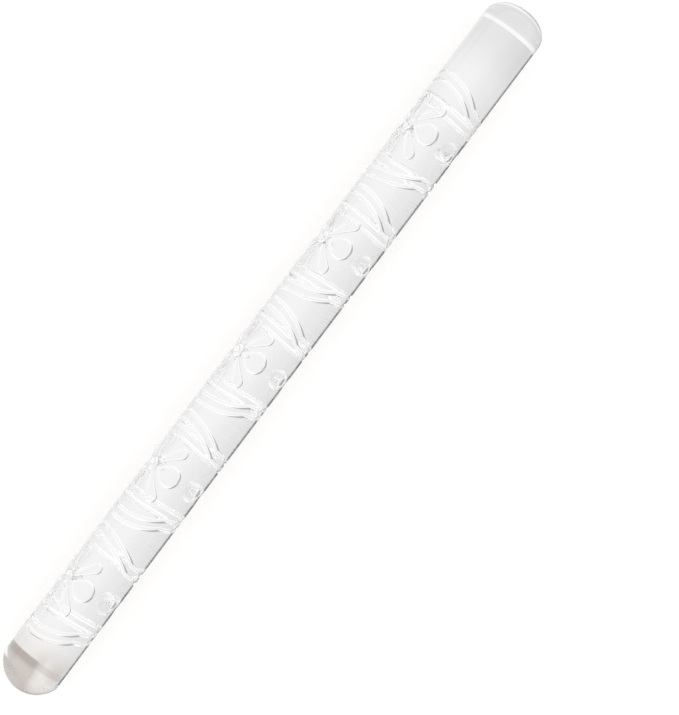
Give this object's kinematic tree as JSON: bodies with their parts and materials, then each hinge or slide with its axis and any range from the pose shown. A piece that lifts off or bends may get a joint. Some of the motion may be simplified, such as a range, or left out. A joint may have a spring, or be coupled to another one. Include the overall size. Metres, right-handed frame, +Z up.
{
  "type": "embossing rolling pin",
  "caption": "Clear solid acrylic rolling pin with domed ends, engraved with columns of daisies, round dots and wavy double lines.",
  "frame": {"origin": "centre of the pin, on its axis and halfway along its length", "axes": "+X along the pin towards its blunt, plain end; +Z up, with the pin lying as pictured; the daisies face 54 degrees from +Z towards +Y"},
  "size_m": [0.33, 0.0254, 0.0254],
  "materials": {
    "clear_acrylic": "clear, polished acrylic"
  },
  "bodies": {
    "root": {"rolling_pin": "clear_acrylic"}
  },
  "joints": []
}
